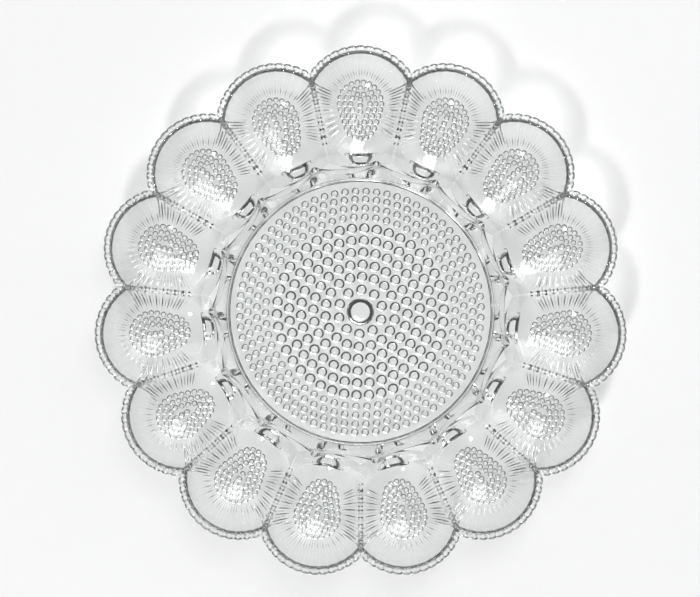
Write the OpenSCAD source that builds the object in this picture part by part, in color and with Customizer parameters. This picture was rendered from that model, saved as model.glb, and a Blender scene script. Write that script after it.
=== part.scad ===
// Deviled egg platter of clear pressed glass: fifteen egg cups in a ring of lobes around a
// round, flat centre. Hobnails cover the underside of the centre and of every cup, the lip is
// beaded, and the platter stands on half-moon feet and on a button in its middle.
// Millimetres, +Z up. The origin is on the table, on the platter's axis, under the button.

/* [Platter] */
// Number of egg cups around the centre
cup_count = 15; // [14:1:16]
// Distance from the platter's axis to the middle of each lobe
lobe_centre_r = 108; // [106:0.5:110]
// Radius of each lobe's outline
lobe_r = 32; // [30:0.5:34]
// Height of the lip above the table
rim_h = 27; // [25:0.5:30]
// Thickness of the glass
glass_t = 4; // [3.2:0.1:4.6]
// Height of the underside of the glass floor above the table
floor_lift = 3; // [2.4:0.1:4]

/* [Lip] */
// Number of beads along the lip of one lobe
bead_count = 13; // [9:1:16]
// Radius of one bead, seen from above
bead_r = 2.9; // [2.7:0.1:3.4]
// Height of the beaded band under the lip
bead_h = 3.5; // [2:0.5:5]
// Width of the lip between a cup's hollow and the outline
lip_w = 4.2; // [3.6:0.1:4.8]

/* [Egg cups] */
// Distance from the platter's axis to the middle of a cup's narrow inner end
nose_centre_r = 93; // [91:0.5:95]
// Radius of a cup's rounded inner end
nose_r = 24; // [22:0.5:26]

/* [Centre] */
// Radius of the flat round centre
plate_r = 71.3; // [69:0.1:72.5]
// Height of the ridge between the centre and the cups above the table
ridge_h = 21.5; // [19:0.5:23]
// How far the centre's wall leans outward from the floor to the top of the ridge
wall_lean = 6; // [4:0.5:7]
// Radius of the button's flat foot
button_foot_r = 4.9; // [3:0.1:6]
// Radius of the button where it meets the underside of the centre
button_root_r = 7.4; // [6.2:0.1:8]

/* [Hobnails] */
// Radius of a large hobnail under the centre
large_knob_r = 2.7; // [2:0.1:3]
// Height of a large hobnail
large_knob_h = 1.8; // [1:0.1:2]
// Radius of a small hobnail under the centre
small_knob_r = 1.95; // [1.5:0.05:2.1]
// Height of a small hobnail
small_knob_h = 1.4; // [0.8:0.1:1.5]
// Radius of a hobnail under a cup
cup_knob_r = 1.5; // [1:0.05:1.55]
// Height of a hobnail under a cup
cup_knob_h = 1; // [0.6:0.1:1.2]
// Distance between the hobnails under a cup
cup_knob_pitch = 3.3; // [3.2:0.05:4]
// Number of hobnails in the row inside a cup's rings
middle_knobs = 3; // [1:1:3]
// Distance from the platter's axis to the wide outer end of a cup's hobnail patch
patch_wide_centre_r = 111.8; // [110:0.2:113]
// Radius of the wide outer end of the patch
patch_wide_r = 13.4; // [11:0.2:14]
// Distance from the platter's axis to the narrow inner end of the patch
patch_narrow_centre_r = 101.4; // [100:0.2:103]
// Radius of the narrow inner end of the patch
patch_narrow_r = 10; // [8:0.2:11]

/* [Feet] */
// Distance from the platter's axis to the straight outer side of a foot, on the table
foot_r = 83.2; // [82:0.1:84.5]
// Radius of a foot's half-moon on the table
foot_moon_r = 6.2; // [5:0.1:7]
// How far a foot spreads sideways between the table and its root
foot_spread = 6; // [3:0.5:7]
// How far a foot's straight and curved sides lean out between the table and its root
foot_lean = 1.8; // [1:0.1:2.5]

/* [Hidden] */
cups = [1:cup_count];
function two_digits(i) = i < 10 ? str("0", i) : str(i);
function numbered(base, i) = str(base, "_", two_digits(i));
$fn = 96;
overrun = 1;
glass_colour = [0.86, 0.9, 0.89, 0.55];
hobnail_colour = [0.74, 0.8, 0.8, 0.75];
foot_colour = [0.66, 0.74, 0.74, 0.85];

// Heights of the floor and the depth of the cups in it
floor_top = floor_lift + glass_t;
cup_depth = rim_h - floor_top;

// The first cup points along +Y, and the others follow clockwise
cup_step = 360 / cup_count;
half_step = cup_step / 2;
first_cup_turn = 90;
function cup_turn(i) = first_cup_turn - (i - 1) * cup_step;

// A cup is one egg-shaped bowl: a wide ball at its outer end, a smaller one at its inner end
// and the cone between them. The glass is the same egg grown by its thickness.
lip_r = lobe_r - lip_w;
bowl_r = (lip_r * lip_r + cup_depth * cup_depth) / (2 * cup_depth);
bowl_centre = [lobe_centre_r, 0, floor_top + bowl_r];
nose_centre = [nose_centre_r, 0, floor_top + nose_r];
egg_span = norm(nose_centre - bowl_centre);
egg_tilt = atan2(nose_centre[0] - bowl_centre[0], nose_centre[2] - bowl_centre[2]);
egg_taper = asin((bowl_r - nose_r) / egg_span);
cone_sink = 0.16;

// The lip's beads stand on a circle inside the lobe's outline and reach out to it
bead_ring_r = lobe_r - bead_r;
bead_core_r = bead_ring_r + bead_r / 2;
notch_turn = half_step + asin(lobe_centre_r * sin(half_step) / lobe_r);
bead_turn = 2 * notch_turn / bead_count;

// The centre's wall leans outward more and more from the floor up to the ridge. The curve is
// that of its inner face, or of its back when grown by the glass.
wall_steps = 6;
wall_rise = ridge_h - floor_top;
function wall_curve(grow) = [
    for (k = [0:wall_steps])
        let (share = k / wall_steps)
        [plate_r + grow + wall_lean * share * share, floor_top + wall_rise * share]
];
function reversed(points) = [for (k = [len(points) - 1:-1:0]) points[k]];

// A foot flares from the table up to the cup's underside. Its inner side follows the cup's
// rounded inner end, and its outer side is straight.
foot_back_r = nose_centre_r - foot_r + foot_moon_r;
foot_root_h = nose_centre[2] - sqrt(pow(nose_r + glass_t, 2) - pow(foot_back_r, 2));
foot_blank_h = foot_root_h + glass_t;
foot_flare = foot_blank_h / foot_root_h;

// Rings of hobnails under the centre: the number of knobs in each and the ring's radius as a
// share of the centre's radius
large_ring_counts = [10, 18, 24, 30, 36, 42];
large_ring_shares = [0.166, 0.264, 0.355, 0.447, 0.537, 0.628];
small_ring_counts = [54, 60, 66, 72];
small_ring_shares = [0.713, 0.78, 0.847, 0.908];
ring_start_turn = 267.3;

// A cup's hobnails stand in egg-shaped rings, one inside the other, around a short row. A ring
// is two arcs and the two straight lines between them, and a place along it is measured from
// its outer end.
patch_span = patch_wide_centre_r - patch_narrow_centre_r;
ring_gap_share = 0.97;
patch_ring_gap = ring_gap_share * cup_knob_pitch;
patch_rings = floor(patch_narrow_r / patch_ring_gap);
row_start_r = patch_wide_centre_r + patch_wide_r - (patch_rings + 0.5) * patch_ring_gap;
knob_seat = 0.05;
function ring_wide_r(inset) = patch_wide_r - inset;
function ring_narrow_r(inset) = patch_narrow_r - inset;
function ring_turn(inset) = 90 + asin((ring_wide_r(inset) - ring_narrow_r(inset)) / patch_span);
function wide_arc(inset) = ring_wide_r(inset) * ring_turn(inset) * PI / 180;
function narrow_arc(inset) = ring_narrow_r(inset) * (180 - ring_turn(inset)) * PI / 180;
function ring_side(inset) = patch_span * sin(ring_turn(inset));
function half_ring(inset) = wide_arc(inset) + ring_side(inset) + narrow_arc(inset);
function arc_point(centre_r, r, turn) = [centre_r + r * cos(turn), r * sin(turn)];
function blend(a, b, share) = a + (b - a) * share;
function half_ring_point(inset, place) =
    let (turn = ring_turn(inset))
    place < wide_arc(inset)
        ? arc_point(patch_wide_centre_r, ring_wide_r(inset), turn * place / wide_arc(inset))
        : place < wide_arc(inset) + ring_side(inset)
            ? blend(
                arc_point(patch_wide_centre_r, ring_wide_r(inset), turn),
                arc_point(patch_narrow_centre_r, ring_narrow_r(inset), turn),
                (place - wide_arc(inset)) / ring_side(inset)
            )
            : arc_point(
                patch_narrow_centre_r,
                ring_narrow_r(inset),
                180 - (180 - turn) * (half_ring(inset) - place) / narrow_arc(inset)
            );
function ring_point(inset, place) =
    place <= half_ring(inset)
        ? half_ring_point(inset, place)
        : let (point = half_ring_point(inset, 2 * half_ring(inset) - place)) [point[0], -point[1]];
function ring_knobs(inset) = floor(2 * half_ring(inset) / cup_knob_pitch);

// The ball of the egg that lies over a place of the patch, seen from above
function ball_share(x) = min(1, max(0, (lobe_centre_r - x) / (lobe_centre_r - nose_centre_r)));
function ball_centre(x) = blend(bowl_centre, nose_centre, ball_share(x));
function ball_r(x) = blend(bowl_r, nose_r, ball_share(x)) + glass_t;

// Places one cup, or what belongs to it, at its own turn around the platter
module at_cup(i) {
    rotate([0, 0, cup_turn(i)])
        children();
}

// The egg shape of a cup's hollow, or of its outside when grown by the glass
module egg(grow) {
    wide = bowl_r + grow;
    narrow = nose_r + grow;
    cone_from = wide * sin(egg_taper);
    cone_to = egg_span + narrow * sin(egg_taper);
    translate(bowl_centre)
        sphere(r = wide);
    translate(nose_centre)
        sphere(r = narrow);
    translate(bowl_centre)
        rotate([0, egg_tilt, 0])
            translate([0, 0, cone_from])
                cylinder(
                    h = cone_to - cone_from,
                    r1 = wide * cos(egg_taper) - cone_sink,
                    r2 = narrow * cos(egg_taper) - cone_sink
                );
}

// The slice of the platter that belongs to one cup, out to its beaded outline
module cup_slice() {
    reach = lobe_centre_r + lobe_r + overrun;
    side = reach * tan(half_step);
    linear_extrude(height = rim_h)
        intersection() {
            polygon([[0, 0], [reach, -side], [reach, side]]);
            lobe_outline();
        }
}

// One lobe seen from above: a disc with beads around its outer side
module beaded_disc() {
    first_turn = (bead_turn - 2 * notch_turn) / 2;
    translate([lobe_centre_r, 0]) {
        circle(r = bead_core_r);
        for (k = [0:bead_count - 1])
            rotate([0, 0, first_turn + k * bead_turn])
                translate([bead_ring_r, 0])
                    circle(r = bead_r);
    }
}

// The outline of a lobe, carried on toward the platter's middle
module lobe_outline() {
    beaded_disc();
    translate([plate_r, -lobe_r])
        square([lobe_centre_r - plate_r, 2 * lobe_r]);
}

// The outside of a cup: the egg grown by the glass, with the beaded band under its lip
module cup_outside() {
    egg(glass_t);
    translate([0, 0, rim_h - bead_h])
        linear_extrude(height = bead_h)
            beaded_disc();
}

// Everything inside the back of the centre's wall, to cut it out of the cups
module inside_wall() {
    curve = wall_curve(glass_t);
    top = curve[wall_steps];
    rotate_extrude()
        polygon(concat(
            [[0, 0], [curve[0][0], 0]],
            curve,
            [[top[0], top[1] + overrun], [0, top[1] + overrun]]
        ));
}

// A round-topped hobnail that hangs from a flat underside at z = 0
module hobnail(knob_r, knob_h) {
    ball_r = (knob_r * knob_r + knob_h * knob_h) / (2 * knob_h);
    intersection() {
        translate([0, 0, ball_r - knob_h])
            sphere(r = ball_r);
        translate([0, 0, -knob_h - overrun])
            cylinder(h = knob_h + overrun, r = knob_r + overrun);
    }
}

module centre_plate() {
    color(glass_colour)
        translate([0, 0, floor_lift])
            cylinder(h = glass_t, r = plate_r);
}

module centre_button() {
    color(foot_colour)
        cylinder(h = floor_lift, r1 = button_foot_r, r2 = button_root_r);
}

// Rings of hobnails on the underside of the centre
module hobnail_rings(counts, shares, knob_r, knob_h) {
    color(hobnail_colour)
        for (ring = [0:len(counts) - 1])
            for (k = [0:counts[ring] - 1])
                rotate([0, 0, ring_start_turn + k * 360 / counts[ring]])
                    translate([plate_r * shares[ring], 0, floor_lift])
                        hobnail(knob_r, knob_h);
}

module centre_hobnails_large() {
    hobnail_rings(large_ring_counts, large_ring_shares, large_knob_r, large_knob_h);
}

module centre_hobnails_small() {
    hobnail_rings(small_ring_counts, small_ring_shares, small_knob_r, small_knob_h);
}

// The wall around the centre, with the rounded inner end of every cup scooped out of its top
module centre_wall() {
    color(glass_colour)
        difference() {
            rotate_extrude()
                polygon(concat(
                    [[plate_r, floor_lift]],
                    wall_curve(0),
                    reversed(wall_curve(glass_t)),
                    [[plate_r + glass_t, floor_lift]]
                ));
            for (i = cups)
                at_cup(i)
                    translate(nose_centre)
                        sphere(r = nose_r);
        }
}

// One egg cup: its slice of the egg-shaped glass shell, from the centre's wall to the lip
module egg_cup(i) {
    color(glass_colour)
        at_cup(i)
            difference() {
                intersection() {
                    cup_slice();
                    cup_outside();
                }
                egg(0);
                inside_wall();
                translate([0, 0, ridge_h])
                    cylinder(h = rim_h, r = nose_centre_r);
            }
}

// The hobnails under one cup, in rings that follow the curve of its underside
module cup_hobnails(i) {
    color(hobnail_colour)
        at_cup(i) {
            for (ring = [1:patch_rings]) {
                inset = (ring - 0.5) * patch_ring_gap;
                knobs = ring_knobs(inset);
                for (k = [0:knobs - 1])
                    under_cup(ring_point(inset, 2 * half_ring(inset) * (k + ring % 2 / 2) / knobs))
                        hobnail(cup_knob_r, cup_knob_h);
            }
            for (k = [0:middle_knobs - 1])
                under_cup([row_start_r - k * cup_knob_pitch, 0])
                    hobnail(cup_knob_r, cup_knob_h);
        }
}

// Stands a hobnail square to a cup's underside at a place seen from above
module under_cup(place) {
    centre = ball_centre(place[0]);
    r = ball_r(place[0]);
    out = [place[0] - centre[0], place[1]];
    translate(centre)
        rotate([0, -asin(norm(out) / r), atan2(out[1], out[0])])
            translate([0, 0, knob_seat - r])
                children();
}

// A half-moon foot under the inner end of a cup
module foot(i) {
    blank_w = 2 * (foot_moon_r + foot_spread * foot_flare);
    color(foot_colour)
        at_cup(i)
            difference() {
                intersection() {
                    translate([foot_r, 0, 0])
                        cylinder(
                            h = foot_blank_h,
                            r1 = foot_moon_r,
                            r2 = foot_moon_r + foot_spread * foot_flare
                        );
                    translate([nose_centre_r, 0, 0])
                        cylinder(
                            h = foot_blank_h,
                            r1 = foot_back_r,
                            r2 = foot_back_r + foot_lean * foot_flare
                        );
                    translate([0, blank_w / 2, 0])
                        rotate([90, 0, 0])
                            linear_extrude(height = blank_w)
                                polygon([
                                    [plate_r, 0],
                                    [foot_r, 0],
                                    [foot_r + foot_lean * foot_flare, foot_blank_h],
                                    [plate_r, foot_blank_h]
                                ]);
                }
                egg(glass_t);
                inside_wall();
            }
}

centre_plate();
centre_button();
centre_hobnails_large();
centre_hobnails_small();
centre_wall();
for (i = cups) {
    egg_cup(i);
    cup_hobnails(i);
    foot(i);
}
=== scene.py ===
"""The look of a deviled egg platter in clear pressed glass, seen from straight above.

Fifteen fluted egg cups stand round a flat, hobnailed centre. Each cup is one closed
piece that is the same mesh turned by 24 degrees. The centre wall and the centre
plate are pieces of their own. Where two pieces are one glass in the real dish,
they meet in a seam that is fully see-through.

Lengths are in millimetres until a mesh is made, and the frame is in metres.
"""
import math

import bmesh
import bpy
import numpy as np
from mathutils import Matrix, Vector
from mathutils.geometry import delaunay_2d_cdt


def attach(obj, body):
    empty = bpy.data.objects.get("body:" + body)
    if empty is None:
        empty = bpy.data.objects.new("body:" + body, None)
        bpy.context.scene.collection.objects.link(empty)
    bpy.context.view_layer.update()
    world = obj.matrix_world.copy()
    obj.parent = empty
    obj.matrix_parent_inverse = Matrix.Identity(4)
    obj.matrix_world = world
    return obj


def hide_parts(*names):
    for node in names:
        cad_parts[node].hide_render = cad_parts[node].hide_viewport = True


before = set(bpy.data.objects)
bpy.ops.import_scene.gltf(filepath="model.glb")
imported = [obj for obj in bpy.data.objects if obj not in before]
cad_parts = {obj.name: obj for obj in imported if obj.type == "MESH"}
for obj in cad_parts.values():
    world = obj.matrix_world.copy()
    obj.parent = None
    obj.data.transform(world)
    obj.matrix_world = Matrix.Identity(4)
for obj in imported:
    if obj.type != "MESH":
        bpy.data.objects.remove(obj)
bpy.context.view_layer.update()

MM = 0.001

# the dish
CUPS = 15
CUP_TURN = 2 * math.pi / CUPS
HALF_CUP = CUP_TURN / 2

FLOOR_LIFT = 3.0
FLOOR_TOP = 7.0

# the egg hollow: a ball towards the rim, a ball towards the centre, and the cone that joins them
BOWL_X = 108.0
BOWL_R = 29.32
BOWL_Z = 36.32
NOSE_X = 93.0
NOSE_R = 24.0
NOSE_Z = 31.0
EGG_SPAN = math.hypot(NOSE_X - BOWL_X, NOSE_Z - BOWL_Z)
EGG_AX = (NOSE_X - BOWL_X) / EGG_SPAN
EGG_AZ = (NOSE_Z - BOWL_Z) / EGG_SPAN
EGG_TAPER = math.asin((BOWL_R - NOSE_R) / EGG_SPAN)

# the ridges between the cups, whose crest is level up to NOSE_X and climbs beyond it,
# and how far the creases of crests and grooves are rounded
RIDGE_H = 21.5
RIDGE_CLIMB = 2.0
RIDGE_SOFT = 2.4
CREST_SOFT = 1.0
GROOVE_SOFT = 3.0

# the underside between the centre wall and the cups: its height, and where it starts to rise
ARCH_H = 4.7
ARCH_END_R = 83.0
ARCH_SLOPE = 0.62
ARCH_SOFT = 1.6

# the beaded rim: how far the outline sinks and the top dips between two beads
LOBE_R = 32.0
BEADS = 13
BEAD_SINK = 0.55
BEAD_ROUND = 0.8
BEAD_DIP = 0.5
BEAD_CREASE = 0.35
BEAD_EVEN = 0.3
DIP_AT_EDGE = 0.35
# its section, as (distance inside the outline, height) and then as (radius, height, share of dip)
RIM_PROFILE = ((0.0, 26.25), (0.28, 26.75), (0.85, 27.14))
LIP_PROFILE = ((28.6, 27.14, 1.0), (28.0, 26.8, 0.7), (27.6, 26.3, 0.3))
LIP_R = 27.3
# the plain band under the beads, and the bevelled ledge under the band
BAND_Z = 25.5
LEDGE_R = 29.6
LEDGE_Z = 23.5
LEDGE_DIP = 0.5
LEDGE_EDGE = ((1.15, 0.0), (0.6, 0.6), (0.0, 1.35))

# the flutes under each cup: one for each bead, and more on each side that end on the ridges
SIDE_FLUTES = 10
FLUTE_STEPS = 8
FLUTE_ROWS = 13
SIDE_END_R = 84.0
FLUTE_FADE = 2.5
FLUTE_SETTLE = 3
# how thick the glass is between the flutes, and how far each flute rises from it: at the patch,
# halfway and at the ridge, and on the lobe at the patch and at its peak beside the patch
SKIN = 3.5
FLUTE_RISE_INNER = 0.35
FLUTE_RISE_MIDDLE = 0.45
FLUTE_RISE_OUTER = 0.8
FLUTE_RISE_LOBE = 0.3
FLUTE_RISE_FACE = 0.7
FLUTE_FACE_PEAK = 0.2
# how the rows across the flutes crowd, and how late the thickness changes from patch to rim
LOBE_CROWD = 1.6
SIDE_SHARES = (0.97, 0.993, 1.0)
LOBE_LATE = 2.6
SIDE_LATE = 0.8

# the hobnail patch under each cup
PATCH_WIDE_X = 111.8
PATCH_WIDE_R = 13.4
PATCH_NARROW_X = 101.4
PATCH_NARROW_R = 10.0
PATCH_END_TURN = math.radians(135)
CUP_KNOB_R = 1.56
CUP_KNOB_H = 1.0
CUP_KNOB_PITCH = 3.3
CUP_KNOB_RINGS = 3
CUP_RING_GAP = 0.97
CUP_MIDDLE_KNOBS = 3
CUP_MIDDLE_X = 114.0

# the wall round the centre well, and the shares of its height between which it is cut off
WALL_FOOT_R = 71.3
WALL_BACK_R = 75.3
WALL_LEAN = 6.0
WALL_RISE = RIDGE_H - FLOOR_TOP
WALL_STEPS = 36
WALL_CUT_LOW = -0.27
WALL_CUT_HIGH = 1.05
WALL_CUT_HALVINGS = 40
SEAM_R = 69.5
# its section, from the fillet on the plate to the flared face, the lip and the rounded crest
WALL_FILLET = ((70.6, 0.03), (71.05, 0.2), (71.25, 0.6))
WALL_FACE = np.linspace(0.12, 0.97, 12)
WALL_FLARE_TOP = 0.84
WALL_FLARE_POWER = 2.6
WALL_LIP = 0.2
CREST_REACH = 0.3
CREST_BEND = (0.35, 0.7)
QUARTERS = (0.25, 0.5, 0.75)
# the fine groove under the edge of the plate
EDGE_GROOVE_R = 70.55
EDGE_GROOVE_HALF = 0.5
EDGE_GROOVE_H = 1.2
EDGE_GROOVE_END = EDGE_GROOVE_R + 2.2 * EDGE_GROOVE_HALF
EDGE_GROOVE_STEPS = (1.4, 1.0, 0.7, 0.4, 0.15, -0.15, -0.4, -0.7, -1.0, -1.4)

# the feet: half-moons that taper down to the table from a flared root, each with a round side,
# flattened by a wider round about the egg's nose, and a leaning flat front
FOOT_X = 82.2
FOOT_R = 4.7
FOOT_TAPER = 3.4
FOOT_SPREAD = 1.2
FOOT_FLARE = 6.0
FOOT_CUT_X = 93.0
FOOT_CUT_R = 15.1
FOOT_CUT_LEAN = 2.2
FOOT_LEAN = 2.4
FOOT_ROOT_H = 4.6
FOOT_FIRST_SHARE = 0.9
FOOT_ROOT_ROUNDS = 60
FOOT_ARC_STEPS = 40
FOOT_FRONT_STEPS = 14
FOOT_POINTS = FOOT_ARC_STEPS + FOOT_FRONT_STEPS
FOOT_LEVELS = (0.94, 0.87, 0.78, 0.6, 0.3, 0.05)
FOOT_MIDDLE_X = FOOT_X - 2.6
FOOT_EDGE = 0.96

# hobnails and button of the centre plate
RING_START = math.radians(267.3)
LARGE_KNOB_R = 2.9
LARGE_KNOB_H = 1.93
LARGE_RINGS = ((10, 0.166), (18, 0.264), (24, 0.355), (30, 0.447), (36, 0.537), (42, 0.628))
SMALL_KNOB_R = 2.05
SMALL_KNOB_H = 1.47
SMALL_RINGS = ((54, 0.713), (60, 0.780), (66, 0.847), (72, 0.908))
BUTTON_SIDES = 48
BUTTON_PROFILE = ((7.4, 3.0), (6.3, 1.68), (5.25, 0.42), (4.98, 0.1), (4.55, 0.0))

# the points inside wide faces: grids as (pitch, distance from the edges), and rows beside edges
HOLLOW_GRID = (1.15, 1.5)
HOLLOW_SEAM_ROWS = (0.1, 0.35, 0.65, 1.0)
HOLLOW_ARC_ROWS = (0.35, 0.8)
HOLLOW_ARC_POINTS = 120
HOLLOW_ARC_SPAN = 0.97
UNDER_GRID = (1.4, 0.7)
UNDER_SEAM_ROWS = (0.12, 0.5, 1.0)
UNDER_FOOT_GAP = 0.8
PATCH_END_POINTS = 20
PLATE_GRID = (5.0, 3.0)

# what is welded, and from which angle an edge is sharp
WELD = 3e-7
SHARP = math.radians(38)

# the two materials of every piece
GLASS, SEAM = 0, 1

# the glass: its tint from low to high, and the dark tint of painted shade that it nears where it
# is seen edge-on
GLASS_TINT = ((0.86, 0.875, 0.868, 1), (0.91, 0.918, 0.915, 1))
EDGE_PAINTED_SHADE = (0.3, 0.31, 0.305, 1)
GLASS_HAZE = 0.03

# how much of a lamp's light goes through one face of the glass: straight on, and less edge-on
SHADOW_CLEAR = 0.62
SHADOW_EDGE = 0.75

# the counter: its colour from low to high, lit and glowing, and the share of its glow
COUNTER_LIT = ((0.84, 0.84, 0.845, 1), (0.88, 0.88, 0.885, 1))
COUNTER_GLOW = ((0.90, 0.90, 0.905, 1), (0.95, 0.95, 0.955, 1))
COUNTER_WHITE = 0.3
COUNTER_HALF = 3.0
COUNTER_Z = -0.0002


# shader sockets
class Shade:
    """A shader value that can be added, multiplied and taken from a number."""

    def __init__(self, nodes, socket):
        self.nodes = nodes
        self.socket = socket

    def maths(self, operation, *others):
        """One Math node on this value and the others."""
        return self.nodes.put("ShaderNodeMath", (self, *others), operation=operation)

    def __add__(self, other):
        return self.maths("ADD", other)

    def __rsub__(self, other):
        return self.nodes.put("ShaderNodeMath", (other, self), operation="SUBTRACT")

    def __mul__(self, other):
        return self.maths("MULTIPLY", other)


class Material:
    """A node material that is built in script."""

    def __init__(self, name):
        self.material = bpy.data.materials.new(name)
        self.material.use_nodes = True
        self.tree = self.material.node_tree
        self.tree.nodes.clear()

    def put(self, kind, inputs=(), output=0, **settings):
        """Adds any node, fills its inputs by position or by name, and returns one output."""
        node = self.tree.nodes.new(kind)
        for key, value in settings.items():
            setattr(node, key, value)
        pairs = inputs.items() if isinstance(inputs, dict) else enumerate(inputs)
        for key, value in pairs:
            if isinstance(value, Shade):
                self.tree.links.new(value.socket, node.inputs[key])
            else:
                node.inputs[key].default_value = value
        return Shade(self, node.outputs[output]) if node.outputs else None

    def place(self):
        """Object coordinates."""
        return self.put("ShaderNodeTexCoord", output="Object")

    def noise(self, scale, detail):
        """Smooth noise on Object coordinates, from 0 to 1."""
        inputs = {"Vector": self.place(), "Scale": scale, "Detail": detail, "Roughness": 0.5}
        return self.put("ShaderNodeTexNoise", inputs)

    def ramp(self, factor, low, high):
        """A colour between two others."""
        inputs = {"Factor": factor, 6: low, 7: high}
        return self.put("ShaderNodeMix", inputs, output=2, data_type="RGBA")

    def seen_by(self, ray):
        """1 for one kind of ray."""
        return self.put("ShaderNodeLightPath", output=ray)

    def finish(self, surface):
        """Puts the surface out, and returns the material."""
        self.put("ShaderNodeOutputMaterial", (surface,))
        return self.material


def clear_glass():
    """Clear pressed glass: fire-polished, very slightly wavy, with painted shade that darkens its
    colour where it is seen edge-on.
    """
    m = Material("clear_glass")
    waves = m.noise(140.0, 2.0) + m.noise(420.0, 3.0) * 0.35
    bump = m.put("ShaderNodeBump", {"Strength": 0.12, "Distance": 0.0006, "Height": waves})
    haze = m.noise(60.0, 4.0) * GLASS_HAZE
    tint = m.ramp(m.noise(25.0, 2.0), *GLASS_TINT)
    edge_on = m.put("ShaderNodeLayerWeight", {"Blend": 0.5}, output="Facing")
    # painted shade: the base colour darkens towards a dark grey where a face is seen edge-on
    inputs = {
        "Base Color": m.ramp(edge_on * edge_on, tint, EDGE_PAINTED_SHADE),
        "Roughness": haze,
        "IOR": 1.5,
        "Transmission Weight": 1.0,
        "Normal": bump,
    }
    glass = m.put("ShaderNodeBsdfPrincipled", inputs)
    clear = m.put("ShaderNodeBsdfTransparent", {"Color": (1, 1, 1, 1)})
    lets_through = m.seen_by("Is Shadow Ray") * (SHADOW_CLEAR - edge_on * SHADOW_EDGE)
    return m.finish(m.put("ShaderNodeMixShader", (lets_through, glass, clear)))


def glass_seam():
    """The seam between two pieces of one glass, of which nothing shows."""
    m = Material("glass_seam")
    return m.finish(m.put("ShaderNodeBsdfTransparent", {"Color": (1, 1, 1, 1)}))


def counter_white():
    """A white counter with a faint mottle, which keeps its white where it is looked at."""
    m = Material("counter_white")
    mottle = m.noise(9.0, 5.0) * 0.6 + m.noise(90.0, 3.0) * 0.4
    inputs = {
        "Base Color": m.ramp(mottle, *COUNTER_LIT),
        "Roughness": 0.55,
        "Specular IOR Level": 0.3,
    }
    matt = m.put("ShaderNodeBsdfPrincipled", inputs)
    white = m.ramp(mottle, *COUNTER_GLOW)
    glow = m.put("ShaderNodeEmission", {"Color": white, "Strength": 1.0})
    seen = m.seen_by("Is Camera Ray") + m.seen_by("Is Glossy Ray")
    seen = seen + m.seen_by("Is Transmission Ray")
    return m.finish(m.put("ShaderNodeMixShader", (seen * COUNTER_WHITE, matt, glow)))


# heights over the plan
def soft_min(a, b, reach):
    """The lower of two heights, with the crease between them rounded."""
    blend = np.maximum(reach - np.abs(a - b), 0) / reach
    return np.minimum(a, b) - blend * blend * reach / 4


def mirrored(x, y):
    """A plan point seen from the nearest neighbour cup."""
    turn = np.where(y >= 0, 2 * HALF_CUP, -2 * HALF_CUP)
    return x * np.cos(turn) + y * np.sin(turn), x * np.sin(turn) - y * np.cos(turn)


def egg_underside(x, y, grow):
    """Height of the underside of an egg grown by so much, over plan points of its own cup."""
    bowl_r, nose_r = BOWL_R + grow, NOSE_R + grow
    dx = x - BOWL_X
    far = 60.0
    bowl_left = bowl_r**2 - dx**2 - y**2
    bowl = np.where(bowl_left > 0, BOWL_Z - np.sqrt(np.maximum(bowl_left, 0)), far)
    nose_left = nose_r**2 - (x - NOSE_X) ** 2 - y**2
    nose = np.where(nose_left > 0, NOSE_Z - np.sqrt(np.maximum(nose_left, 0)), far)
    slope = math.tan(EGG_TAPER)
    start = bowl_r / math.cos(EGG_TAPER)
    square = 1 + slope**2
    a = 1 - square * EGG_AZ**2
    b = -2 * square * dx * EGG_AX * EGG_AZ + 2 * start * slope * EGG_AZ
    c = dx**2 + y**2 - square * dx**2 * EGG_AX**2 + 2 * start * slope * dx * EGG_AX - start**2
    root = b * b - 4 * a * c
    dz = (-b - np.sqrt(np.maximum(root, 0))) / (2 * a)
    along = dx * EGG_AX + dz * EGG_AZ
    sine = math.sin(EGG_TAPER)
    on_cone = (root > 0) & (along >= bowl_r * sine) & (along <= EGG_SPAN + nose_r * sine)
    balls = np.where(root > 0, np.where(along < bowl_r * sine, bowl, nose), np.minimum(bowl, nose))
    return np.where(on_cone, BOWL_Z + dz, balls)


def hollow_height(x, y):
    """The upper face: the egg hollows and the rounded ridges between them."""
    x, y = np.asarray(x, float), np.asarray(y, float)
    own = egg_underside(x, y, 0.0)
    next_cup = egg_underside(*mirrored(x, y), 0.0)
    height = soft_min(own, next_cup, RIDGE_SOFT)
    cap = RIDGE_H + RIDGE_CLIMB * np.maximum(np.hypot(x, y) - NOSE_X, 0)
    return soft_min(height, cap, CREST_SOFT)


def wall_curve(share, foot_r):
    """A point (radius, height) of the centre wall, at a share of its height."""
    return foot_r + WALL_LEAN * share**2, FLOOR_TOP + WALL_RISE * share


def wall_meets(height_of, turn, foot_r):
    """Where the wall's curve passes through a height over the plan: (radius, height)."""
    low, high = np.full_like(turn, WALL_CUT_LOW), np.full_like(turn, WALL_CUT_HIGH)
    for _ in range(WALL_CUT_HALVINGS):
        middle = (low + high) / 2
        r, z = wall_curve(middle, foot_r)
        below = z < height_of(r * np.cos(turn), r * np.sin(turn))
        low = np.where(below, middle, low)
        high = np.where(below, high, middle)
    return wall_curve((low + high) / 2, foot_r)


def under_height(x, y, skin):
    """The underside of the cups, so much below the hollow."""
    x, y = np.asarray(x, float), np.asarray(y, float)
    own = egg_underside(x, y, skin)
    next_cup = egg_underside(*mirrored(x, y), skin)
    arch = ARCH_H + ARCH_SLOPE * np.maximum(np.hypot(x, y) - ARCH_END_R, 0)
    return soft_min(soft_min(own, next_cup, GROOVE_SOFT), arch, ARCH_SOFT)


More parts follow.
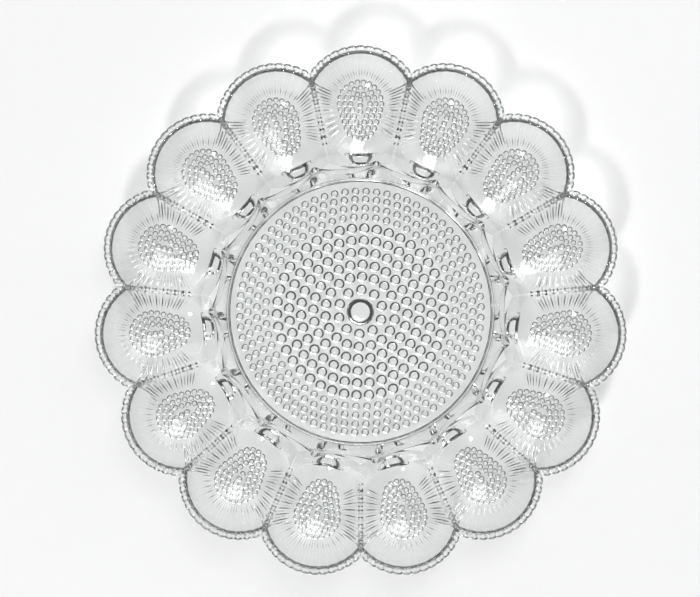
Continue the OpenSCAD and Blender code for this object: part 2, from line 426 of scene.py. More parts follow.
# a mesh in the making
class Glass:
    """Points and faces of one closed glass piece, in millimetres."""

    def __init__(self):
        self.points = []
        self.faces = []
        self.kinds = []

    def add(self, x, y, z):
        """Adds points and returns their numbers."""
        x, y, z = np.broadcast_arrays(np.asarray(x, float), y, z)
        first = len(self.points)
        self.points.extend(zip(x.ravel().tolist(), y.ravel().tolist(), z.ravel().tolist()))
        return list(range(first, len(self.points)))

    def face(self, corners, kind=GLASS):
        """Adds one face, leaving out corners that fall together."""
        kept = [c for i, c in enumerate(corners) if c != corners[i - 1]]
        if len(kept) > 2:
            self.faces.append(tuple(kept))
            self.kinds.append(kind)

    def strip(self, row, next_row, kind=GLASS, closed=False):
        """Quads between two rows of as many points."""
        count = len(row) if closed else len(row) - 1
        for i in range(count):
            j = (i + 1) % len(row)
            self.face((row[i], row[j], next_row[j], next_row[i]), kind)

    def fill(self, loop, flat, extra=(), holes=(), up=True, kind=GLASS):
        """Fills a loop of points with triangles, round any holes and through extra points.

        flat gives the two coordinates in which the loop is laid out.
        """
        numbers = list(loop) + list(extra)
        edges = [(i, (i + 1) % len(loop)) for i in range(len(loop))]
        owner = [-1] * len(numbers)
        for which, hole in enumerate(holes):
            first = len(numbers)
            numbers += hole
            owner += [which] * len(hole)
            edges += [(first + i, first + (i + 1) % len(hole)) for i in range(len(hole))]
        plan = [Vector(flat(self.points[n])) for n in numbers]
        points, _, triangles, origins, _, _ = delaunay_2d_cdt(plan, edges, [], 1, 1e-6)
        back = [found[0] for found in origins]
        for triangle in triangles:
            corners = [back[i] for i in triangle]
            within = {owner[c] for c in corners}
            if len(within) == 1 and within != {-1}:
                continue
            corners = [numbers[c] for c in corners]
            a, b, c = (flat(self.points[n]) for n in corners)
            turn = (b[0] - a[0]) * (c[1] - a[1]) - (b[1] - a[1]) * (c[0] - a[0])
            self.face(corners if (turn > 0) == up else corners[::-1], kind)

    def mesh(self, name):
        """The points and faces as a mesh in metres."""
        mesh = bpy.data.meshes.new(name)
        mesh.from_pydata([tuple(v * MM for v in p) for p in self.points], [], self.faces)
        mesh.polygons.foreach_set("material_index", self.kinds)
        return mesh


def lay(point):
    """A point's place in the plan."""
    return point[0], point[1]


def closed_mesh(glass, name, studs, materials):
    """Joins a piece's own faces and its hobnails into one closed mesh."""
    form = bmesh.new()
    form.from_mesh(glass.mesh(name))
    for stud in studs:
        form.from_mesh(stud)
    bmesh.ops.remove_doubles(form, verts=form.verts, dist=WELD)
    loose = [v for v in form.verts if not v.link_faces]
    bmesh.ops.delete(form, geom=loose, context="VERTS")
    bmesh.ops.recalc_face_normals(form, faces=form.faces)
    for edge in form.edges:
        kinds = {face.material_index for face in edge.link_faces}
        turned = len(edge.link_faces) == 2 and edge.calc_face_angle(0.0) > SHARP
        edge.smooth = len(kinds) == 1 and not turned
    for face in form.faces:
        face.smooth = True
    mesh = bpy.data.meshes.new(name)
    form.to_mesh(mesh)
    form.free()
    for material in materials:
        mesh.materials.append(material)
    return mesh


def show(name, mesh, nodes):
    """Puts one glass piece of the dish into the scene, for its CAD nodes."""
    piece = bpy.data.objects.new(name, mesh)
    bpy.context.scene.collection.objects.link(piece)
    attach(piece, "root")
    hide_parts(*nodes)


# hobnails
KNOB_SIDES = 14
KNOB_ROWS = 4


def knob_turns():
    """The turns of a hobnail's sides."""
    return np.arange(KNOB_SIDES) * 2 * math.pi / KNOB_SIDES


def knob_dome(name, radius, height):
    """One hobnail: a cap of a ball, open underneath, its foot circle at height 0."""
    ball_r = (radius**2 + height**2) / (2 * height)
    reach = math.asin(radius / ball_r)
    dome = Glass()
    turns = knob_turns()
    last = None
    for row in range(KNOB_ROWS):
        lean = reach * (1 - row / KNOB_ROWS)
        r, z = ball_r * math.sin(lean), ball_r * math.cos(lean) - ball_r + height
        ring = dome.add(r * np.cos(turns), r * np.sin(turns), z)
        if last:
            dome.strip(last, ring, closed=True)
        last = ring
    top = dome.add(0, 0, height)[0]
    for i, corner in enumerate(last):
        dome.face((corner, last[(i + 1) % len(last)], top))
    piece = bpy.data.objects.new(name, dome.mesh(name))
    bpy.context.scene.collection.objects.link(piece)
    return piece


def knob_tree():
    """The Geometry Nodes that stand one hobnail on every seat."""
    tree = bpy.data.node_groups.new("stand_hobnails", "GeometryNodeTree")
    face = tree.interface
    face.new_socket("Geometry", in_out="INPUT", socket_type="NodeSocketGeometry")
    face.new_socket("Hobnail", in_out="INPUT", socket_type="NodeSocketObject")
    face.new_socket("Glass", in_out="INPUT", socket_type="NodeSocketMaterial")
    face.new_socket("Geometry", in_out="OUTPUT", socket_type="NodeSocketGeometry")
    nodes, link = tree.nodes, tree.links.new
    seats = nodes.new("NodeGroupInput")
    hobnail = nodes.new("GeometryNodeObjectInfo")
    stand = nodes.new("GeometryNodeInputNamedAttribute")
    stand.data_type = "QUATERNION"
    stand.inputs["Name"].default_value = "stand"
    place = nodes.new("GeometryNodeInstanceOnPoints")
    real = nodes.new("GeometryNodeRealizeInstances")
    paint = nodes.new("GeometryNodeSetMaterial")
    out = nodes.new("NodeGroupOutput")
    link(seats.outputs["Hobnail"], hobnail.inputs["Object"])
    link(seats.outputs["Geometry"], place.inputs["Points"])
    link(hobnail.outputs["Geometry"], place.inputs["Instance"])
    link(stand.outputs["Attribute"], place.inputs["Rotation"])
    link(place.outputs["Instances"], real.inputs["Geometry"])
    link(real.outputs["Geometry"], paint.inputs["Geometry"])
    link(seats.outputs["Glass"], paint.inputs["Material"])
    link(paint.outputs["Geometry"], out.inputs["Geometry"])
    return tree


def stand_knobs(name, seats, radius, height, tree, material):
    """Hobnails on their seats, as one plain mesh. A seat is a 4x4 matrix in millimetres."""
    dome = knob_dome(name + "_dome", radius, height)
    places = bpy.data.meshes.new(name)
    places.from_pydata([tuple(seat.translation * MM) for seat in seats], [], [])
    stand = places.attributes.new("stand", "QUATERNION", "POINT")
    for i, seat in enumerate(seats):
        stand.data[i].value = seat.to_quaternion()
    holder = bpy.data.objects.new(name, places)
    bpy.context.scene.collection.objects.link(holder)
    modifier = holder.modifiers.new("hobnails", "NODES")
    modifier.node_group = tree
    sockets = {s.name: s.identifier for s in tree.interface.items_tree if s.in_out == "INPUT"}
    modifier[sockets["Hobnail"]] = dome
    modifier[sockets["Glass"]] = material
    graph = bpy.context.evaluated_depsgraph_get()
    mesh = bpy.data.meshes.new_from_object(holder.evaluated_get(graph))
    holder.modifiers.remove(modifier)
    for spare in (holder, dome):
        bpy.data.objects.remove(spare)
    mesh.polygons.foreach_set("material_index", [GLASS] * len(mesh.polygons))
    return mesh


def knob_hole(glass, seat, radius):
    """The foot circle of a hobnail, as points of the face that it stands on."""
    ring = [seat @ Vector((radius * math.cos(t), radius * math.sin(t), 0)) for t in knob_turns()]
    return glass.add(*np.array(ring).T)


def seat_at(x, y, skin=None):
    """A seat under a cup, square to the underside, or under the plate where skin is None."""
    if skin is None:
        return Matrix.Translation((x, y, FLOOR_LIFT)) @ Matrix.Rotation(math.pi, 4, "X")
    step = 0.05
    z = float(under_height(x, y, skin))
    dx = float(under_height(x + step, y, skin) - under_height(x - step, y, skin)) / (2 * step)
    dy = float(under_height(x, y + step, skin) - under_height(x, y - step, skin)) / (2 * step)
    down = Vector((dx, dy, -1)).normalized()
    side = Vector((1, 0, dx)).normalized()
    across = down.cross(side)
    turned = Matrix((side, across, down)).transposed().to_4x4()
    return Matrix.Translation((x, y, z)) @ turned


# the hobnail patch's plan
PATCH_SPAN = PATCH_WIDE_X - PATCH_NARROW_X
PATCH_TURN = math.pi / 2 + math.asin((PATCH_WIDE_R - PATCH_NARROW_R) / PATCH_SPAN)
PATCH_SIDE = PATCH_SPAN * math.sin(PATCH_TURN)


def patch_path(along, inset=0.0):
    """Plan point of the patch's egg outline, so far along it from its wide tip."""
    wide, narrow = PATCH_WIDE_R - inset, PATCH_NARROW_R - inset
    side = 1 if along >= 0 else -1
    along = abs(along)
    wide_arc = wide * PATCH_TURN
    if along <= wide_arc:
        turn = along / wide
        x, y = PATCH_WIDE_X + wide * math.cos(turn), wide * math.sin(turn)
    elif along <= wide_arc + PATCH_SIDE:
        share = (along - wide_arc) / PATCH_SIDE
        radius = wide + (narrow - wide) * share
        centre = PATCH_WIDE_X - PATCH_SPAN * share
        x, y = centre + radius * math.cos(PATCH_TURN), radius * math.sin(PATCH_TURN)
    else:
        turn = PATCH_TURN + (along - wide_arc - PATCH_SIDE) / narrow
        x, y = PATCH_NARROW_X + narrow * math.cos(turn), narrow * math.sin(turn)
    return x, side * y


def patch_length(end_turn, inset=0.0):
    """Length of half the outline, from the wide tip to this turn on the narrow end."""
    wide, narrow = PATCH_WIDE_R - inset, PATCH_NARROW_R - inset
    return wide * PATCH_TURN + PATCH_SIDE + narrow * (end_turn - PATCH_TURN)


def cup_knob_places():
    """Plan points of the hobnails under a cup: egg-shaped rings and a row in the middle."""
    places = []
    for ring in range(1, CUP_KNOB_RINGS + 1):
        inset = (ring - 0.5) * CUP_RING_GAP * CUP_KNOB_PITCH
        half = patch_length(math.pi, inset)
        knobs = math.floor(2 * half / CUP_KNOB_PITCH)
        for k in range(knobs):
            along = 2 * half * (k + ring % 2 / 2) / knobs
            places.append(patch_path(along if along <= half else along - 2 * half, inset))
    places += [(CUP_MIDDLE_X - k * CUP_KNOB_PITCH, 0.0) for k in range(CUP_MIDDLE_KNOBS)]
    return places


# one egg cup
LOBE_STEPS = BEADS * FLUTE_STEPS
SIDE_STEPS = SIDE_FLUTES * FLUTE_STEPS
PLAIN_STEPS = 8
SEAM_OFFSET = BOWL_X * math.sin(HALF_CUP)


def seam_turn(radius):
    """Turn about the lobe's centre at which a circle about it meets the seam plane."""
    return math.pi / 2 + HALF_CUP - np.arccos(SEAM_OFFSET / radius)


def on_lobe(share, radius):
    """Plan point on a circle about the lobe's centre, share from -1 to 1 between its notches."""
    turn = share * seam_turn(radius)
    return BOWL_X + radius * np.cos(turn), radius * np.sin(turn)


def on_seam(radius, side):
    """Plan point on the seam plane to a neighbour cup."""
    return radius * math.cos(HALF_CUP), side * radius * math.sin(HALF_CUP)


def beside_seam(radii, side, off):
    """Plan points so far inside a cup from the seam plane to a neighbour cup."""
    x, y = on_seam(radii, side)
    return np.stack([x + math.sin(HALF_CUP) * off, y - side * math.cos(HALF_CUP) * off], 1)


def plain_radii(wall_r):
    """Radii on the seam plane between the last flute and the centre wall."""
    return SIDE_END_R + (wall_r[0] - SIDE_END_R) * np.arange(1, PLAIN_STEPS) / PLAIN_STEPS


def bead_swell(step):
    """0 in the valley between two beads, 1 on the crest."""
    return np.sin(math.pi * (np.asarray(step) % FLUTE_STEPS) / FLUTE_STEPS)


def flute_swell(step):
    """0 in the soft valley between two flutes, 1 on the crest."""
    return 0.5 - 0.5 * np.cos(2 * math.pi * np.asarray(step) / FLUTE_STEPS)


def foot_radius(share):
    """Radius of a foot's round side, at a share of its height: tapered, and flared at the root."""
    share = np.minimum(share, 1)
    return FOOT_R + FOOT_TAPER * share + FOOT_SPREAD * share**FOOT_FLARE


def foot_reach(share, turn):
    """How far a foot reaches from its axis, at a share of its height and a turn."""
    cut_r = FOOT_CUT_R + FOOT_CUT_LEAN * share
    offset = FOOT_X - FOOT_CUT_X
    cut = -offset * np.cos(turn) + np.sqrt(cut_r**2 - (offset * np.sin(turn)) ** 2)
    return np.minimum(foot_radius(share), cut)


def foot_outline(share):
    """Plan points of a foot's D at a share of its height for each point."""
    share = np.broadcast_to(np.asarray(share, float), (FOOT_POINTS,))
    x, y = np.empty(FOOT_POINTS), np.empty(FOOT_POINTS)
    front = FOOT_LEAN * np.minimum(share, 1)
    radius = foot_radius(share)
    corner = np.arccos(front / radius)
    for i in range(FOOT_POINTS):
        if i <= FOOT_ARC_STEPS:
            turn = corner[i] + (2 * math.pi - 2 * corner[i]) * i / FOOT_ARC_STEPS
            reach = foot_reach(share[i], turn)
            x[i], y[i] = FOOT_X + reach * math.cos(turn), reach * math.sin(turn)
        else:
            half = radius[i] * math.sin(corner[i])
            across = (i - FOOT_ARC_STEPS) / FOOT_FRONT_STEPS
            x[i], y[i] = FOOT_X + front[i], half * (2 * across - 1)
    return x, y


def grid_within(loop, pitch, keep_off):
    """Points of a triangular grid inside a plan loop, so far clear of its edges."""
    loop = np.asarray(loop)
    low, high = loop.min(0), loop.max(0)
    rows = np.arange(low[1], high[1], pitch * math.sqrt(3) / 2)
    found = []
    for n, y in enumerate(rows):
        x = np.arange(low[0] + (n % 2) * pitch / 2, high[0], pitch)
        found.append(np.stack([x, np.full_like(x, y)], 1))
    grid = np.concatenate(found)
    ax, ay = loop[:, 0], loop[:, 1]
    bx, by = np.roll(ax, -1), np.roll(ay, -1)
    gx, gy = grid[:, :1], grid[:, 1:]
    rise = np.where(by == ay, 1e-9, by - ay)
    crossing = ((ay > gy) != (by > gy)) & (gx < (bx - ax) * (gy - ay) / rise + ax)
    inside = crossing.sum(1) % 2 == 1
    length = np.maximum((bx - ax) ** 2 + (by - ay) ** 2, 1e-12)
    t = np.clip(((gx - ax) * (bx - ax) + (gy - ay) * (by - ay)) / length, 0, 1)
    gap = np.hypot(gx - ax - t * (bx - ax), gy - ay - t * (by - ay)).min(1)
    return grid[inside & (gap > keep_off)]


def wall_back(turns):
    """Where the centre wall's back meets a cup: its top (r, z) and its bottom (r, z)."""
    top = wall_meets(hollow_height, turns, WALL_BACK_R)
    bottom = wall_meets(lambda x, y: under_height(x, y, SKIN), turns, WALL_BACK_R)
    return top, bottom


def cup_rim(cup):
    """Rows of points over the beaded rim, from the band under the beads to the hollow."""
    steps = np.arange(LOBE_STEPS + 1)
    share = steps / LOBE_STEPS * 2 - 1
    valley = 1 - bead_swell(steps)
    outer = LOBE_R - BEAD_SINK * (1 - bead_swell(steps) ** BEAD_ROUND)
    dip = BEAD_DIP * valley + BEAD_CREASE * (1 - np.abs(bead_swell(2 * steps)))
    ledge_z = LEDGE_Z + LEDGE_DIP * valley
    rows = [cup.add(*on_lobe(share, np.full(steps.shape, LEDGE_R)), LEDGE_Z)]
    for inset, rise in LEDGE_EDGE:
        rows.append(cup.add(*on_lobe(share, outer - inset), ledge_z + rise))
    rows.append(cup.add(*on_lobe(share, outer), BAND_Z))
    for inset, z in RIM_PROFILE:
        inward = inset / RIM_PROFILE[-1][0]
        radius = outer - inset + (LOBE_R - BEAD_SINK * 0.5 - outer) * BEAD_EVEN * inward
        depth = DIP_AT_EDGE + (1 - DIP_AT_EDGE) * inward
        rows.append(cup.add(*on_lobe(share, radius), z - dip * depth))
    for radius, z, depth in LIP_PROFILE:
        rows.append(cup.add(*on_lobe(share, np.full(steps.shape, radius)), z - dip * depth))
    x, y = on_lobe(share, np.full(steps.shape, LIP_R))
    rows.append(cup.add(x, y, hollow_height(x, y)))
    for row, next_row in zip(rows, rows[1:]):
        cup.strip(row, next_row)
    return rows


def cup_hollow(cup, lip_row, wall_turns, wall_top):
    """The upper face of a cup, from its lip to the seams. Returns its side and wall rows."""
    lip_r = math.hypot(*cup.points[lip_row[-1]][:2])
    wall_r, wall_z = wall_top
    flutes = lip_r + (SIDE_END_R - lip_r) * np.arange(1, SIDE_STEPS + 1) / SIDE_STEPS
    radii = np.concatenate([flutes, plain_radii(wall_r)])
    arc = cup.add(wall_r * np.cos(wall_turns), wall_r * np.sin(wall_turns), wall_z)
    sides = []
    for side in (1, -1):
        x, y = on_seam(radii, side)
        sides.append(cup.add(x, y, hollow_height(x, y)))
    loop = lip_row + sides[0] + arc + sides[1][::-1]
    plan = np.array([cup.points[n][:2] for n in loop])
    extra = [grid_within(plan, *HOLLOW_GRID)]
    spaced = radii[4:-1:2]
    for off in HOLLOW_SEAM_ROWS:
        for side in (1, -1):
            extra.append(beside_seam(spaced, side, off))
    across = np.linspace(-HOLLOW_ARC_SPAN, HOLLOW_ARC_SPAN, HOLLOW_ARC_POINTS)
    middle = wall_turns[1:-1]
    for off in HOLLOW_ARC_ROWS:
        x, y = on_lobe(across, np.full(across.shape, LIP_R - off))
        extra.append(np.stack([x, y], 1))
        r = np.interp(middle, wall_turns[::-1], wall_r[::-1]) + off
        extra.append(np.stack([r * np.cos(middle), r * np.sin(middle)], 1))
    extra = np.concatenate(extra)
    inner = cup.add(extra[:, 0], extra[:, 1], hollow_height(extra[:, 0], extra[:, 1]))
    cup.fill(loop, lay, extra=inner, up=True)
    return sides, arc


def cup_flutes(cup, rim_row):
    """The fluted underside, from the hobnail patch to the rim and the seams.

    Returns the row at the patch, the two ends of the rows, and the two edges along the seams.
    """
    columns = np.arange(-LOBE_STEPS // 2 - SIDE_STEPS, LOBE_STEPS // 2 + SIDE_STEPS + 1)
    half = columns[-1]
    reach = patch_length(PATCH_END_TURN)
    starts = np.array([patch_path(reach * c / half) for c in columns])
    steps = columns + LOBE_STEPS // 2
    lobe = np.abs(columns) <= LOBE_STEPS // 2
    ledge_skin = math.hypot(LEDGE_R, BOWL_Z - LEDGE_Z) - BOWL_R
    notch_r = math.hypot(*cup.points[rim_row[-1]][:2])
    past = np.maximum(np.abs(columns) - LOBE_STEPS // 2, 0)
    seam_r = notch_r + (SIDE_END_R - notch_r) * past / SIDE_STEPS
    side = np.sign(columns)
    lobe_x, lobe_y = on_lobe(np.clip(columns / (LOBE_STEPS / 2), -1, 1), LEDGE_R)
    ends_x = np.where(lobe, lobe_x, seam_r * math.cos(HALF_CUP))
    ends_y = np.where(lobe, lobe_y, side * seam_r * math.sin(HALF_CUP))
    fade = np.clip((SIDE_STEPS - past) / (FLUTE_FADE * FLUTE_STEPS), 0, 1)
    settle = np.clip(past / (FLUTE_SETTLE * FLUTE_STEPS), 0, 1)
    wave = flute_swell(steps)
    side_skin = ledge_skin + (SKIN - ledge_skin) * settle + FLUTE_RISE_OUTER * wave * fade
    end_skin = np.where(lobe, ledge_skin, side_skin)
    inner_rise = np.where(lobe, FLUTE_RISE_LOBE, FLUTE_RISE_INNER)
    start_skin = SKIN + inner_rise * wave * fade
    lobe_shares = 1 - (1 - np.linspace(0, 1, FLUTE_ROWS)) ** LOBE_CROWD
    side_shares = np.linspace(0, 1, FLUTE_ROWS - 1)[:-1] * SIDE_SHARES[0]
    side_shares = np.concatenate([side_shares, SIDE_SHARES[1:]])
    first_lobe = int(np.argmax(lobe))
    rows = []
    for n in range(FLUTE_ROWS):
        share = np.where(lobe, lobe_shares[n], side_shares[n])
        x = starts[:, 0] + (ends_x - starts[:, 0]) * share
        y = starts[:, 1] + (ends_y - starts[:, 1]) * share
        late = np.where(lobe, share**LOBE_LATE, share**SIDE_LATE)
        peaked = share / FLUTE_FACE_PEAK * np.exp(1 - share / FLUTE_FACE_PEAK)
        face_rise = FLUTE_RISE_FACE * peaked
        side_rise = FLUTE_RISE_MIDDLE * fade * np.sin(math.pi * share)
        swollen = np.where(lobe, face_rise, side_rise) * wave
        skin = start_skin + (end_skin - start_skin) * late + swollen
        rows.append(cup.add(x, y, under_height(x, y, skin)))
    rows[-1][first_lobe : first_lobe + LOBE_STEPS + 1] = rim_row
    for row, next_row in zip(rows, rows[1:]):
        cup.strip(row, next_row)
    ends = [row[0] for row in rows], [row[-1] for row in rows]
    seam_right = rows[-1][first_lobe + LOBE_STEPS :]
    seam_left = rows[-1][: first_lobe + 1][::-1]
    return rows[0], ends, (seam_right, seam_left)


def cup_patch(cup, flute_row):
    """The web of the hobnail patch. Returns its narrow end and the hobnails' seats."""
    start, stop = patch_length(PATCH_END_TURN), patch_length(math.pi)
    along = np.linspace(start, 2 * stop - start, PATCH_END_POINTS + 2)[1:-1]
    ends = [patch_path(a if a <= stop else a - 2 * stop) for a in along]
    x, y = np.array(ends).T
    narrow = cup.add(x, y, under_height(x, y, SKIN))
    seats = [seat_at(x, y, SKIN) for x, y in cup_knob_places()]
    holes = [knob_hole(cup, seat, CUP_KNOB_R) for seat in seats]
    cup.fill(flute_row + narrow, lay, holes=holes, up=False)
    return narrow, seats


def cup_foot(cup):
    """The foot, from its root on the cup's underside down to its D on the table.

    The root's height is found in rounds, since the outline there depends on it. Returns its row.
    """
    share = np.full(FOOT_POINTS, FOOT_FIRST_SHARE)
    for _ in range(FOOT_ROOT_ROUNDS):
        x, y = foot_outline(share)
        share = 0.4 * share + 0.6 * under_height(x, y, SKIN) / FOOT_ROOT_H
    x, y = foot_outline(share)
    root = cup.add(x, y, share * FOOT_ROOT_H)
    last = root
    for level in FOOT_LEVELS:
        at = np.minimum(share * level, share)
        x, y = foot_outline(at)
        row = cup.add(x, y, at * FOOT_ROOT_H)
        cup.strip(last, row, closed=True)
        last = row
    x, y = foot_outline(0.0)
    row = cup.add(FOOT_MIDDLE_X + (x - FOOT_MIDDLE_X) * FOOT_EDGE, y * FOOT_EDGE, 0.0)
    cup.strip(last, row, closed=True)
    cup.fill(row, lay, up=False)
    return root


def cup_inner_underside(cup, narrow, flute_ends, wall_turns, wall_bottom, root):
    """The plain underside between the patch, the flutes, the seams and the centre wall."""
    left, right = flute_ends
    wall_r, wall_z = wall_bottom
    arc = cup.add(wall_r * np.cos(wall_turns), wall_r * np.sin(wall_turns), wall_z)
    radii = plain_radii(wall_r)
    sides = []
    for side in (1, -1):
        x, y = on_seam(radii, side)
        sides.append(cup.add(x, y, under_height(x, y, SKIN)))
    loop = right + sides[0] + arc + sides[1][::-1] + left[::-1] + narrow[::-1]
    plan = np.array([cup.points[n][:2] for n in loop])
    grid = grid_within(plan, *UNDER_GRID)
    hole = np.array([cup.points[n][:2] for n in root])
    centre = hole.mean(0)
    turn = np.arctan2(hole[:, 1] - centre[1], hole[:, 0] - centre[0])
    clear = []
    for point in grid:
        own = math.atan2(point[1] - centre[1], point[0] - centre[0])
        near = np.argmin(np.abs((turn - own + math.pi) % (2 * math.pi) - math.pi))
        gap = math.dist(point, centre) - math.dist(hole[near], centre)
        clear.append(gap > UNDER_FOOT_GAP)
    strips = [beside_seam(radii[:-1], side, off) for off in UNDER_SEAM_ROWS for side in (1, -1)]
    grid = np.concatenate([grid[np.array(clear)], *strips])
    inner = cup.add(grid[:, 0], grid[:, 1], under_height(grid[:, 0], grid[:, 1], SKIN))
    cup.fill(loop, lay, extra=inner, holes=[root], up=False)
    return sides, arc


def along_seam(point):
    """Distance along the seam plane and height."""
    return math.hypot(point[0], point[1]), point[2]


def egg_cup(tree, materials):
    """The mesh of the cup on the +X axis."""
    cup = Glass()
    wall_turns = np.linspace(HALF_CUP, -HALF_CUP, WALL_STEPS + 1)
    wall_top, wall_bottom = wall_back(wall_turns)
    rim = cup_rim(cup)
    hollow_sides, top_arc = cup_hollow(cup, rim[-1], wall_turns, wall_top)
    flute_row, flute_ends, flute_seams = cup_flutes(cup, rim[0])
    narrow, seats = cup_patch(cup, flute_row)
    root = cup_foot(cup)
    under_sides, bottom_arc = cup_inner_underside(
        cup, narrow, flute_ends, wall_turns, wall_bottom, root
    )
    cup.strip(top_arc, bottom_arc, SEAM)
    for which in (0, 1):
        end = -1 if which == 0 else 0
        rim_side = [row[end] for row in rim]
        wall_end = [bottom_arc[0], top_arc[0]] if which == 0 else [bottom_arc[-1], top_arc[-1]]
        loop = flute_seams[which] + under_sides[which] + wall_end
        loop += hollow_sides[which][::-1] + rim_side[:0:-1]
        cup.fill(loop, along_seam, kind=SEAM)
    studs = stand_knobs("cup_hobnails", seats, CUP_KNOB_R, CUP_KNOB_H, tree, materials[GLASS])
    return closed_mesh(cup, "egg_cup", [studs], materials)


# the centre wall
def centre_wall(materials):
    """The flared wall round the well, scooped on top where the egg hollows cut it."""
    wall = Glass()
    turns = np.linspace(HALF_CUP, -HALF_CUP, WALL_STEPS + 1)[:-1]
    crest = wall_meets(hollow_height, turns, WALL_FOOT_R)
    top, bottom = wall_back(turns)
    profiles = []
    for i, turn in enumerate(turns):
        crest_r, crest_z = crest[0][i], crest[1][i]
        line = [(SEAM_R, FLOOR_LIFT), (SEAM_R, FLOOR_TOP)]
        line += [(r, FLOOR_TOP + rise) for r, rise in WALL_FILLET]
        flare = crest_r - WALL_LIP - WALL_FOOT_R
        for share in WALL_FACE:
            r = WALL_FOOT_R + flare * min(share / WALL_FLARE_TOP, 1) ** WALL_FLARE_POWER
            line.append((r, FLOOR_TOP + (crest_z - FLOOR_TOP) * share))
        r_out = crest_r + CREST_REACH
        z_out = float(hollow_height(r_out * math.cos(turn), r_out * math.sin(turn)))
        r_in, z_in = line[-1]
        for t in CREST_BEND:
            r = r_in * (1 - t) ** 2 + 2 * r_in * t * (1 - t) + r_out * t**2
            z = z_in * (1 - t) ** 2 + 2 * crest_z * t * (1 - t) + z_out * t**2
            line.append((r, z))
        line.append((r_out, z_out))
        for share in QUARTERS:
            r = r_out + (top[0][i] - r_out) * share
            line.append((r, float(hollow_height(r * math.cos(turn), r * math.sin(turn)))))
        seam_step = len(line)
        line.append((top[0][i], top[1][i]))
        line.append((bottom[0][i], bottom[1][i]))
        for share in (*QUARTERS[::-1], 0.0):
            r = EDGE_GROOVE_END + (bottom[0][i] - EDGE_GROOVE_END) * share
            line.append((r, FLOOR_LIFT + (bottom[1][i] - FLOOR_LIFT) * share**2))
        for step in EDGE_GROOVE_STEPS:
            z = FLOOR_LIFT + EDGE_GROOVE_H * math.exp(-(step**2))
            line.append((EDGE_GROOVE_R + EDGE_GROOVE_HALF * step, z))
        profiles.append(line)
    seams = {0, seam_step}
    rings = []
    for cup in range(CUPS):
        for turn, line in zip(turns, profiles):
            at = turn - cup * CUP_TURN
            r, z = np.array(line).T
            rings.append(wall.add(r * math.cos(at), r * math.sin(at), z))
    for ring, next_ring in zip(rings, rings[1:] + rings[:1]):
        for k in range(len(ring)):
            n = (k + 1) % len(ring)
            kind = SEAM if k in seams else GLASS
            wall.face((ring[k], next_ring[k], next_ring[n], ring[n]), kind)
    return closed_mesh(wall, "centre_wall", [], materials)


# the centre plate
def knob_rings(rings):
    """Plan points of the rings of hobnails under the centre plate."""
    places = []
    for count, share in rings:
        for k in range(count):
            turn = RING_START + 2 * math.pi * k / count
            radius = share * WALL_FOOT_R
            places.append((radius * math.cos(turn), radius * math.sin(turn)))
    return places


def centre_plate(tree, materials):
    """The flat floor of the well, with rings of hobnails and a button under it."""
    plate = Glass()
    turns = HALF_CUP - np.arange(CUPS * WALL_STEPS) * CUP_TURN / WALL_STEPS
    cos, sin = np.cos(turns), np.sin(turns)
    under = plate.add(SEAM_R * cos, SEAM_R * sin, FLOOR_LIFT)
    top = plate.add(SEAM_R * cos, SEAM_R * sin, FLOOR_TOP)
    plate.strip(under, top, SEAM, closed=True)
    coarse_rim = np.stack([SEAM_R * cos, SEAM_R * sin], 1)[::6]
    grid = grid_within(coarse_rim, *PLATE_GRID)
    plate.fill(top, lay, extra=plate.add(grid[:, 0], grid[:, 1], FLOOR_TOP), up=True)
    studs, holes = [], []
    sizes = (
        ("large_hobnails", LARGE_RINGS, LARGE_KNOB_R, LARGE_KNOB_H),
        ("small_hobnails", SMALL_RINGS, SMALL_KNOB_R, SMALL_KNOB_H),
    )
    for name, rings, radius, height in sizes:
        seats = [seat_at(x, y) for x, y in knob_rings(rings)]
        holes += [knob_hole(plate, seat, radius) for seat in seats]
        studs.append(stand_knobs(name, seats, radius, height, tree, materials[GLASS]))
    around = np.arange(BUTTON_SIDES) * 2 * math.pi / BUTTON_SIDES
    rows = [plate.add(r * np.cos(around), r * np.sin(around), z) for r, z in BUTTON_PROFILE]
    for row, next_row in zip(rows, rows[1:]):
        plate.strip(row, next_row, closed=True)
    plate.fill(rows[-1], lay, up=False)
    holes.append(rows[0])
    plate.fill(under, lay, holes=holes, up=False)
    return closed_mesh(plate, "centre_plate", studs, materials)


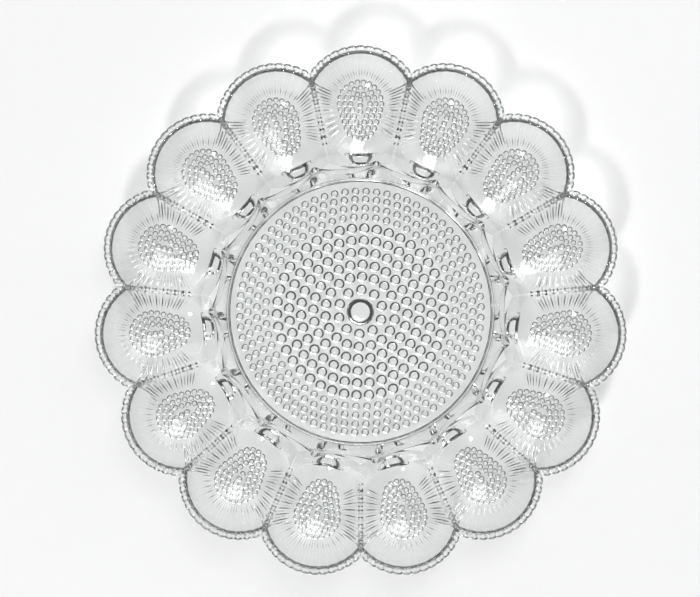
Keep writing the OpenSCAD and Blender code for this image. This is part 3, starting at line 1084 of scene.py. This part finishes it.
# the dish
def build_dish():
    """The fifteen cups, the wall and the plate, each in the place of its CAD nodes."""
    materials = [clear_glass(), glass_seam()]
    tree = knob_tree()
    cup = egg_cup(tree, materials)
    for number in range(1, CUPS + 1):
        mark = f"{number:02d}"
        mesh = cup.copy()
        mesh.name = "egg_cup_" + mark
        mesh.transform(Matrix.Rotation(math.pi / 2 - (number - 1) * CUP_TURN, 4, "Z"))
        nodes = ("egg_cup_" + mark, "cup_hobnails_" + mark, "foot_" + mark)
        show("glass_cup_" + mark, mesh, nodes)
    show("glass_wall", centre_wall(materials), ("centre_wall",))
    hobnails = ("centre_hobnails_large", "centre_hobnails_small")
    nodes = ("centre_plate", "centre_button", *hobnails)
    show("glass_plate", centre_plate(tree, materials), nodes)


# the studio
def counter():
    """The white counter that the dish stands on."""
    mesh = bpy.data.meshes.new("counter")
    signs = ((-1, -1), (1, -1), (1, 1), (-1, 1))
    corners = [(x * COUNTER_HALF, y * COUNTER_HALF, COUNTER_Z) for x, y in signs]
    mesh.from_pydata(corners, [], [(0, 1, 2, 3)])
    mesh.materials.append(counter_white())
    floor = bpy.data.objects.new("counter", mesh)
    bpy.context.scene.collection.objects.link(floor)


def soft_lamp(name, place, size, power, through_glass=True):
    """A square area lamp that looks at the dish, and that shows through the glass or not."""
    lamp = bpy.data.lights.new(name, "AREA")
    lamp.shape = "SQUARE"
    lamp.size = size
    lamp.energy = power
    holder = bpy.data.objects.new(name, lamp)
    holder.location = place
    holder.visible_transmission = through_glass
    holder.rotation_euler = (-Vector(place)).to_track_quat("-Z", "Y").to_euler()
    bpy.context.scene.collection.objects.link(holder)


def studio():
    """A window-like key from the lower left, a bright wall beyond the dish, a soft ceiling."""
    soft_lamp("window", (-0.62, -1.75, 1.85), 0.3, 44.0, through_glass=False)
    soft_lamp("wall_left", (-0.7, 1.8, 1.4), 1.5, 6.0)
    soft_lamp("wall_right", (1.1, 1.5, 1.3), 1.5, 15.0)
    soft_lamp("ceiling", (0.3, 1.0, 2.1), 1.2, 24.0)
    world = bpy.data.worlds.new("room")
    bpy.context.scene.world = world
    world.use_nodes = True
    background = world.node_tree.nodes["Background"]
    background.inputs["Color"].default_value = (0.95, 0.97, 1.0, 1)
    background.inputs["Strength"].default_value = 0.08


def camera():
    """Straight down, 0.9 m over the counter, as in the photograph."""
    lens = bpy.data.cameras.new("camera")
    lens.lens = 85.8
    lens.sensor_width = 36
    holder = bpy.data.objects.new("camera", lens)
    holder.location = (-0.0056, 0.0072, 0.9)
    bpy.context.scene.collection.objects.link(holder)
    bpy.context.scene.camera = holder


build_dish()
counter()
studio()
camera()
bpy.context.scene.view_settings.view_transform = "Standard"
